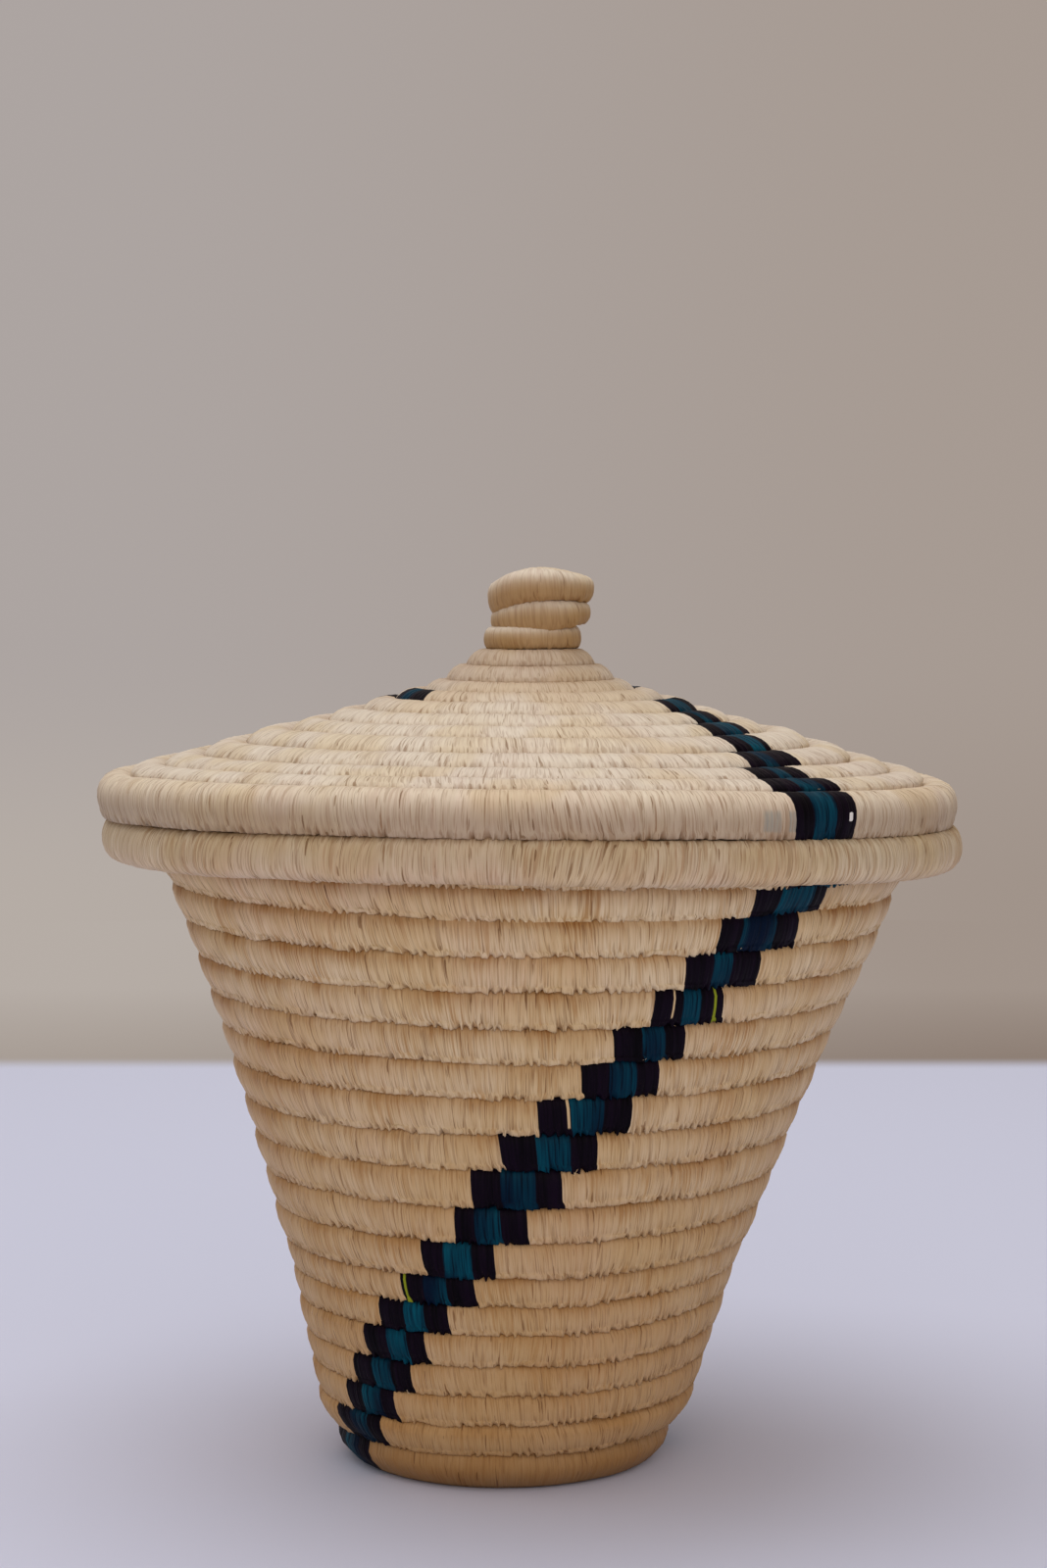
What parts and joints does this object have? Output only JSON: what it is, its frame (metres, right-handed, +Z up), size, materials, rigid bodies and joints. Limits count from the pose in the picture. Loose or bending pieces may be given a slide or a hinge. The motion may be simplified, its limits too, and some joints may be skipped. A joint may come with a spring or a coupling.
{
  "type": "lidded coiled basket",
  "caption": "Coiled raffia basket: a flared conical body with a fat rim, and a low conical lid with a coiled knob that lifts off.",
  "frame": {"origin": "on the table, under the middle of the basket's outline", "axes": "+Z up through the knob, -Y towards the side with the stripe"},
  "size_m": [0.2815, 0.2759, 0.2918],
  "materials": {
    "raffia": "undyed raffia wrapped round a fibre bundle, satin",
    "knob_raffia": "undyed raffia, handled and darker, satin"
  },
  "bodies": {
    "basket": {"base_start": "raffia", "base_coil": "raffia", "wall_coil": "raffia", "rim_coil": "raffia"},
    "lid": {"lid_rim_coil": "raffia", "lid_coil": "raffia", "lid_seat_ring": "raffia", "knob_coil": "knob_raffia", "knob_core": "knob_raffia"}
  },
  "joints": [
    {"name": "lid_lift", "type": "slide", "parent": "basket", "child": "lid", "axis": [0, 0, 1], "range_m": [0, 0.12]}
  ]
}
